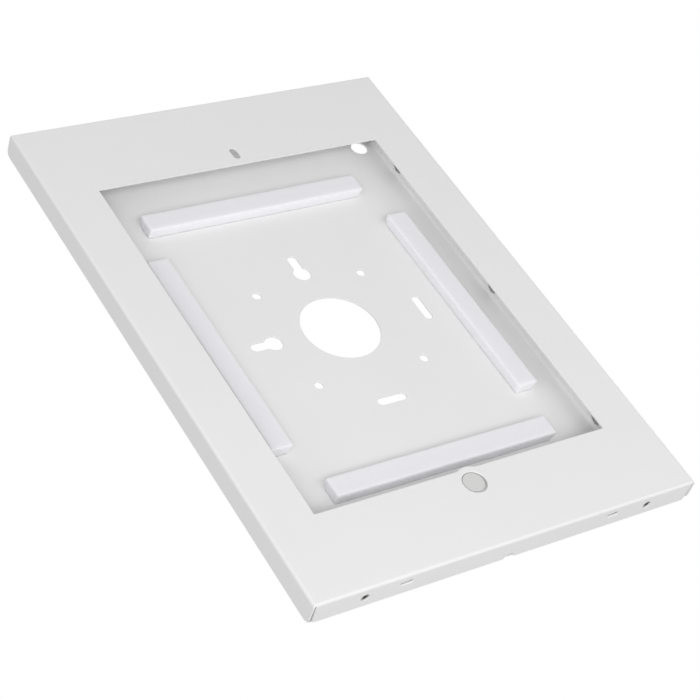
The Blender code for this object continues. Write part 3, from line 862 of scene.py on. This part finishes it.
# %% [markdown]
# ## Lock screws
#
# A thread is a ridge that climbs round a core. Geometry Nodes make it in three nodes: a spiral for
# the path, a circle of four points for the ridge's section, and Curve to Mesh to sweep the one
# along the other. The core is a copy of the CAD screw whose outside shrinks by the thread's depth,
# so the ridge ends exactly where the CAD cylinder did. An M4 thread climbs 0.7 mm a turn.

# %% Cut the threads
THREAD_PITCH = 0.7 * MM
THREAD_DEPTH = 0.32 * MM
THREAD_END = 0.45 * MM
THREAD_STEPS = 20
RIDGE_SIDES = 4
SOCKET_REACH = 1.4 * MM
SCREW_EDGE = 0.06 * MM


def thread_tree():
    """A ridge of four-sided section on a spiral."""
    tree, given = start_tree("screw_thread", {
        "Radius": "NodeSocketFloat",
        "Turns": "NodeSocketFloat",
        "Length": "NodeSocketFloat",
        "Depth": "NodeSocketFloat",
    })
    path = add_node(tree, "GeometryNodeCurveSpiral", inputs={
        "Resolution": THREAD_STEPS,
        "Rotations": given["Turns"],
        "Start Radius": given["Radius"],
        "End Radius": given["Radius"],
        "Height": given["Length"],
    })
    section = add_node(tree, "GeometryNodeCurvePrimitiveCircle", inputs={
        "Resolution": RIDGE_SIDES,
        "Radius": given["Depth"],
    })
    ridge = add_node(tree, "GeometryNodeCurveToMesh", inputs={
        "Curve": path.outputs["Curve"],
        "Profile Curve": section.outputs["Curve"],
        "Fill Caps": True,
    })
    return end_tree(tree, ridge.outputs["Mesh"], given)


def shrink_outside(piece, axis, reach, depth):
    """Move every point that is further than reach from an upright axis towards that axis."""
    for vertex in piece.data.vertices:
        spoke = Vector((vertex.co.x - axis.x, vertex.co.y - axis.y, 0.0))
        if spoke.length > reach:
            vertex.co -= spoke.normalized() * depth


def add_mesh(piece, extra, place):
    """Join another mesh, moved to a place, into a piece."""
    mesh_data = bmesh.new()
    mesh_data.from_mesh(extra)
    bmesh.ops.translate(mesh_data, verts=mesh_data.verts, vec=place)
    bmesh.ops.recalc_face_normals(mesh_data, faces=mesh_data.faces)
    mesh_data.from_mesh(piece.data)
    mesh_data.to_mesh(piece.data)
    mesh_data.free()


thread = thread_tree()
for side_name in ("left", "right"):
    node_name = side_name + "_lock_screw"
    screw = merged_copy(node_name, side_name + "_stainless_screw")
    screw_low, screw_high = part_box(node_name)
    screw_axis = (screw_low + screw_high) / 2
    outside = (screw_high.x - screw_low.x) / 2
    shrink_outside(screw, screw_axis, SOCKET_REACH, THREAD_DEPTH)
    paint_edges(screw, SCREW_EDGE)
    run = screw_high.z - screw_low.z - 2 * THREAD_END
    ridge_mesh = grown_mesh(thread, {
        "Radius": outside - THREAD_DEPTH,
        "Turns": run / THREAD_PITCH,
        "Length": run,
        "Depth": THREAD_DEPTH,
        "Material": stainless,
    })
    add_mesh(screw, ridge_mesh, Vector((screw_axis.x, screw_axis.y, screw_low.z + THREAD_END)))
    finish_piece(screw, stainless, "screw_steel", node_name)
    print(screw.name, "turns:", round(run / THREAD_PITCH, 1))

# %% [markdown]
# ## Clinch nuts
#
# A clinch nut is pressed into a hole of thin sheet, and fine teeth round its head keep it from
# turning. One tooth is a small square bar, and Geometry Nodes set it out round a circle with one
# edge of the bar pointing outwards. The copy of the CAD nut gives up a little of its radius, so
# the tips of the teeth reach the CAD size.

# %% Cut the knurl
KNURL_TEETH = 36
KNURL_DEPTH = 0.22 * MM
KNURL_HEIGHT = 3.0 * MM
KNURL_SETBACK = 0.56 * MM
TOOTH_SIDES = 4
NUT_EDGE = 0.08 * MM
HEAD_REACH = 4.0 * MM


def knurl_tree():
    """Square bars in a ring, each with an edge turned outwards."""
    tree, given = start_tree("nut_knurl", {
        "Radius": "NodeSocketFloat",
        "Teeth": "NodeSocketInt",
        "Depth": "NodeSocketFloat",
        "Height": "NodeSocketFloat",
    })
    ring = add_node(tree, "GeometryNodeMeshCircle", inputs={
        "Vertices": given["Teeth"],
        "Radius": given["Radius"],
    })
    bar = add_node(tree, "GeometryNodeMeshCylinder", inputs={
        "Vertices": TOOTH_SIDES,
        "Radius": given["Depth"],
        "Depth": given["Height"],
    })
    spoke = add_node(tree, "GeometryNodeInputPosition")
    turn = add_node(tree, "FunctionNodeAlignRotationToVector", {"axis": "X"}, {
        "Vector": spoke.outputs["Position"],
    })
    teeth = add_node(tree, "GeometryNodeInstanceOnPoints", inputs={
        "Points": ring.outputs["Mesh"],
        "Instance": bar.outputs["Mesh"],
        "Rotation": turn.outputs["Rotation"],
    })
    return end_tree(tree, teeth.outputs["Instances"], given)


knurl = knurl_tree()
for side_name in ("left", "right"):
    node_name = side_name + "_clinch_nut"
    nut = merged_copy(node_name, side_name + "_plated_nut")
    nut_low, nut_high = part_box(node_name)
    nut_axis = (nut_low + nut_high) / 2
    head_radius = (nut_high.x - nut_low.x) / 2
    shrink_outside(nut, nut_axis, HEAD_REACH, KNURL_DEPTH)
    paint_edges(nut, NUT_EDGE)
    tooth_ring = grown_mesh(knurl, {
        "Radius": head_radius - KNURL_DEPTH,
        "Teeth": KNURL_TEETH,
        "Depth": KNURL_DEPTH,
        "Height": KNURL_HEIGHT,
        "Material": plated,
    })
    tooth_middle = nut_high.z - KNURL_HEIGHT / 2 - KNURL_SETBACK
    add_mesh(nut, tooth_ring, Vector((nut_axis.x, nut_axis.y, tooth_middle)))
    finish_piece(nut, plated, "nut_steel", node_name)
    print(nut.name, "teeth:", KNURL_TEETH)

# %% [markdown]
# ## The floor
#
# The camera looks up at the mount, which hangs at eye height, so the floor lies well below both.
# It is a plain sheet of matt background paper. One square face is enough for it, because all that
# the eye gets from paper is a faint fibre and hardly any change of tone, and noise gives both.

# %% Floor
PAPER_ROUGHNESS = 0.9
PAPER_CLOUD_MM = 300.0
PAPER_FIBRE_MM = 2.0
PAPER_FIBRE_HEIGHT = 0.02 * MM


def studio_paper():
    """Matt background paper: nearly one tone, with a faint fibre."""
    material, tree, shader, place = start_material("matt_studio_paper", PAPER_ROUGHNESS)
    cloud = add_node(tree, "ShaderNodeTexNoise", inputs={
        "Vector": place,
        "Scale": pattern_scale(PAPER_CLOUD_MM),
        "Detail": 2.0,
    })
    tint = add_node(tree, "ShaderNodeMix", {"data_type": "RGBA"}, {
        0: cloud.outputs["Fac"],
        6: linear("EBEBEB"),
        7: linear("EFEFEF"),
    })
    tree.links.new(tint.outputs[2], shader.inputs["Base Color"])
    fibre = add_node(tree, "ShaderNodeTexNoise", inputs={
        "Vector": place,
        "Scale": pattern_scale(PAPER_FIBRE_MM),
        "Detail": 3.0,
    })
    bump = add_node(tree, "ShaderNodeBump", inputs={
        "Height": fibre.outputs["Fac"],
        "Distance": PAPER_FIBRE_HEIGHT,
    })
    tree.links.new(bump.outputs["Normal"], shader.inputs["Normal"])
    return material


FLOOR_HEIGHT = -1.9
FLOOR_HALF = 6.0

floor_mesh = bpy.data.meshes.new("studio_floor")
floor_corners = [(-1, -1), (1, -1), (1, 1), (-1, 1)]
floor_points = [(x * FLOOR_HALF, y * FLOOR_HALF, FLOOR_HEIGHT) for x, y in floor_corners]
floor_mesh.from_pydata(floor_points, [], [(0, 1, 2, 3)])
floor = bpy.data.objects.new("studio_floor", floor_mesh)
bpy.context.scene.collection.objects.link(floor)
floor_mesh.materials.append(studio_paper())
print("floor height:", FLOOR_HEIGHT, "m")

# %% [markdown]
# ## The light tent
#
# White on white needs very soft light, and about half of it comes from the world, as in a light
# tent. The background is the world too: white to the camera and to reflections, and a plain pale
# grey to everything that it lights. The Light Path node tells these kinds of ray apart.

# %% World
WORLD_STRENGTH = 0.46
WHITE_STRENGTH = 1.0

world = bpy.data.worlds.new("light_tent")
world.use_nodes = True
bpy.context.scene.world = world
world_tree = world.node_tree
world_tree.nodes.clear()
rays = add_node(world_tree, "ShaderNodeLightPath")
seen = add_node(world_tree, "ShaderNodeMath", {"operation": "MAXIMUM"}, {
    0: rays.outputs["Is Camera Ray"],
    1: rays.outputs["Is Glossy Ray"],
})
shown = add_node(world_tree, "ShaderNodeMath", {"operation": "MAXIMUM"}, {
    0: seen.outputs["Value"],
    1: rays.outputs["Is Transmission Ray"],
})
tent = add_node(world_tree, "ShaderNodeBackground", inputs={
    "Color": linear("FFFFFF"),
    "Strength": WORLD_STRENGTH,
})
backdrop = add_node(world_tree, "ShaderNodeBackground", inputs={
    "Color": linear("FFFFFF"),
    "Strength": WHITE_STRENGTH,
})
chosen = add_node(world_tree, "ShaderNodeMixShader", inputs={
    0: shown.outputs["Value"],
    1: tent.outputs["Background"],
    2: backdrop.outputs["Background"],
})
add_node(world_tree, "ShaderNodeOutputWorld", inputs={"Surface": chosen.outputs["Shader"]})

# %% [markdown]
# ## The lamps
#
# Three big square lamps low in front and one at the left give the faces slightly different tones.
# Their strengths came from rendering each lamp alone and solving for the mix that comes closest to
# the photograph's shades. Two more stand behind the mount and reach only the sides that face away.

# %% Lamps
LAMP_SIZE = 1.0
LAMPS = {
    "low_front_lamp": ((0.0, -1.5, -1.35), 7.5),
    "low_right_lamp": ((1.2, -1.5, -1.2), 4.2),
    "low_left_lamp": ((-1.2, -1.5, -1.2), 16.2),
    "left_lamp": ((-2.1, -1.0, -0.6), 4.8),
    "back_lamp": ((0.4, 2.2, 0.4), 7.0),
    "back_right_lamp": ((2.1, 0.9, 0.6), 8.0),
}


def soft_lamp(name, place, power):
    """Hang a square lamp that looks at the middle of the mount."""
    lamp_data = bpy.data.lights.new(name, "AREA")
    lamp_data.shape = "SQUARE"
    lamp_data.size = LAMP_SIZE
    lamp_data.energy = power
    lamp = bpy.data.objects.new(name, lamp_data)
    lamp.location = place
    lamp.rotation_euler = Vector(place).to_track_quat("Z", "Y").to_euler()
    bpy.context.scene.collection.objects.link(lamp)


for lamp_name, (lamp_place, lamp_power) in LAMPS.items():
    soft_lamp(lamp_name, lamp_place, lamp_power)
bpy.context.scene.view_settings.view_transform = "Standard"
print("lamps:", len(bpy.data.lights))
